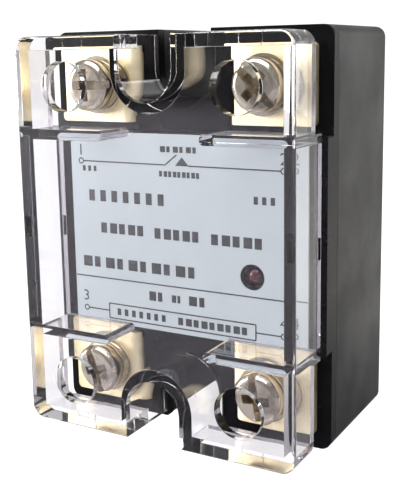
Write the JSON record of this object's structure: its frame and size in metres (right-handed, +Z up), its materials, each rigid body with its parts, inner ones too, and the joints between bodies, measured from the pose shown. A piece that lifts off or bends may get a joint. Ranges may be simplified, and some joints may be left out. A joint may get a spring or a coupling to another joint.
{
  "type": "solid state relay",
  "caption": "Panel-mount solid state relay in a black case with screw terminals under a clear lift-off cover, a printed label, a status lamp and a metal base for a heat sink.",
  "frame": {"origin": "centre of the back mounting face", "axes": "+X to the right seen from the front, -Y forward out of the label, +Z up; +Y points into the heat sink"},
  "size_m": [0.045, 0.032, 0.0584],
  "materials": {
    "case_plastic": "fine moulded texture, black",
    "clear_cover": "clear moulded polycarbonate, polished",
    "label_print": "pale blue-grey printed film, satin",
    "plated_metal": "nickel plated brass, satin",
    "screw_metal": "nickel plated steel, bright",
    "zinc_steel": "zinc plated steel",
    "base_metal": "ground aluminium",
    "copper": "copper, slightly tarnished",
    "ceramic": "fired alumina, matt",
    "silicon": "passivated silicon",
    "resin": "cast epoxy resin",
    "board": "green solder mask",
    "package_plastic": "moulded epoxy package",
    "resistor_body": "blue lacquer",
    "capacitor_sleeve": "shrink sleeve",
    "film_body": "moulded case",
    "lamp_red": "tinted epoxy, dark red when off"
  },
  "bodies": {
    "housing": {"rear_case": "case_plastic", "front_lid": "case_plastic", "base_plate": "base_metal", "label": "label_print", "ceramic_substrate": "ceramic", "copper_pads": "copper", "power_chip_1": "silicon", "power_chip_2": "silicon", "chip_clips": "copper", "gate_wires": "copper", "potting_resin": "resin", "output_busbar_1": "copper", "output_busbar_2": "copper", "input_lead_3": "plated_metal", "input_lead_4": "plated_metal", "control_board": "board", "optocoupler": "package_plastic", "bridge_rectifier": "package_plastic", "input_resistor": "resistor_body", "current_limiter": "package_plastic", "input_capacitor": "capacitor_sleeve", "snubber_resistor": "resistor_body", "snubber_capacitor": "film_body", "gate_resistors": "resistor_body", "status_lamp": "lamp_red", "lamp_leads": "plated_metal", "terminal_strap_1": "plated_metal", "terminal_strap_2": "plated_metal", "terminal_strap_3": "plated_metal", "terminal_strap_4": "plated_metal", "square_nut_1": "zinc_steel", "square_nut_2": "zinc_steel", "square_nut_3": "zinc_steel", "square_nut_4": "zinc_steel"},
    "cover": {"cover": "clear_cover"},
    "washers_1": {"flat_washer_1": "screw_metal", "spring_washer_1": "screw_metal"},
    "screw_1": {"terminal_screw_1": "screw_metal"},
    "washers_2": {"flat_washer_2": "screw_metal", "spring_washer_2": "screw_metal"},
    "screw_2": {"terminal_screw_2": "screw_metal"},
    "washers_3": {"flat_washer_3": "screw_metal", "spring_washer_3": "screw_metal"},
    "screw_3": {"terminal_screw_3": "screw_metal"},
    "washers_4": {"flat_washer_4": "screw_metal", "spring_washer_4": "screw_metal"},
    "screw_4": {"terminal_screw_4": "screw_metal"}
  },
  "joints": [
    {"name": "cover_pull", "type": "slide", "parent": "housing", "child": "cover", "axis": [0, -1, 0], "range_m": [0, 0.03]},
    {"name": "lift_1", "type": "slide", "parent": "housing", "child": "washers_1", "axis": [0, -1, 0], "range_m": [0, 0.0028]},
    {"name": "turn_1", "type": "hinge", "parent": "washers_1", "child": "screw_1", "pos_m": [-0.0135, -0.0262, 0.0215], "axis": [0, -1, 0], "range_deg": [0, 1440]},
    {"name": "lift_2", "type": "slide", "parent": "housing", "child": "washers_2", "axis": [0, -1, 0], "range_m": [0, 0.0028]},
    {"name": "turn_2", "type": "hinge", "parent": "washers_2", "child": "screw_2", "pos_m": [0.0135, -0.0262, 0.0215], "axis": [0, -1, 0], "range_deg": [0, 1440]},
    {"name": "lift_3", "type": "slide", "parent": "housing", "child": "washers_3", "axis": [0, -1, 0], "range_m": [0, 0.0028]},
    {"name": "turn_3", "type": "hinge", "parent": "washers_3", "child": "screw_3", "pos_m": [-0.0135, -0.0262, -0.0215], "axis": [0, -1, 0], "range_deg": [0, 1440]},
    {"name": "lift_4", "type": "slide", "parent": "housing", "child": "washers_4", "axis": [0, -1, 0], "range_m": [0, 0.0028]},
    {"name": "turn_4", "type": "hinge", "parent": "washers_4", "child": "screw_4", "pos_m": [0.0135, -0.0262, -0.0215], "axis": [0, -1, 0], "range_deg": [0, 1440]}
  ],
  "couplings": [
    {"joint": "turn_1", "follows": "lift_1", "rad_per_m": 8975.9},
    {"joint": "turn_2", "follows": "lift_2", "rad_per_m": 8975.9},
    {"joint": "turn_3", "follows": "lift_3", "rad_per_m": 8975.9},
    {"joint": "turn_4", "follows": "lift_4", "rad_per_m": 8975.9}
  ]
}
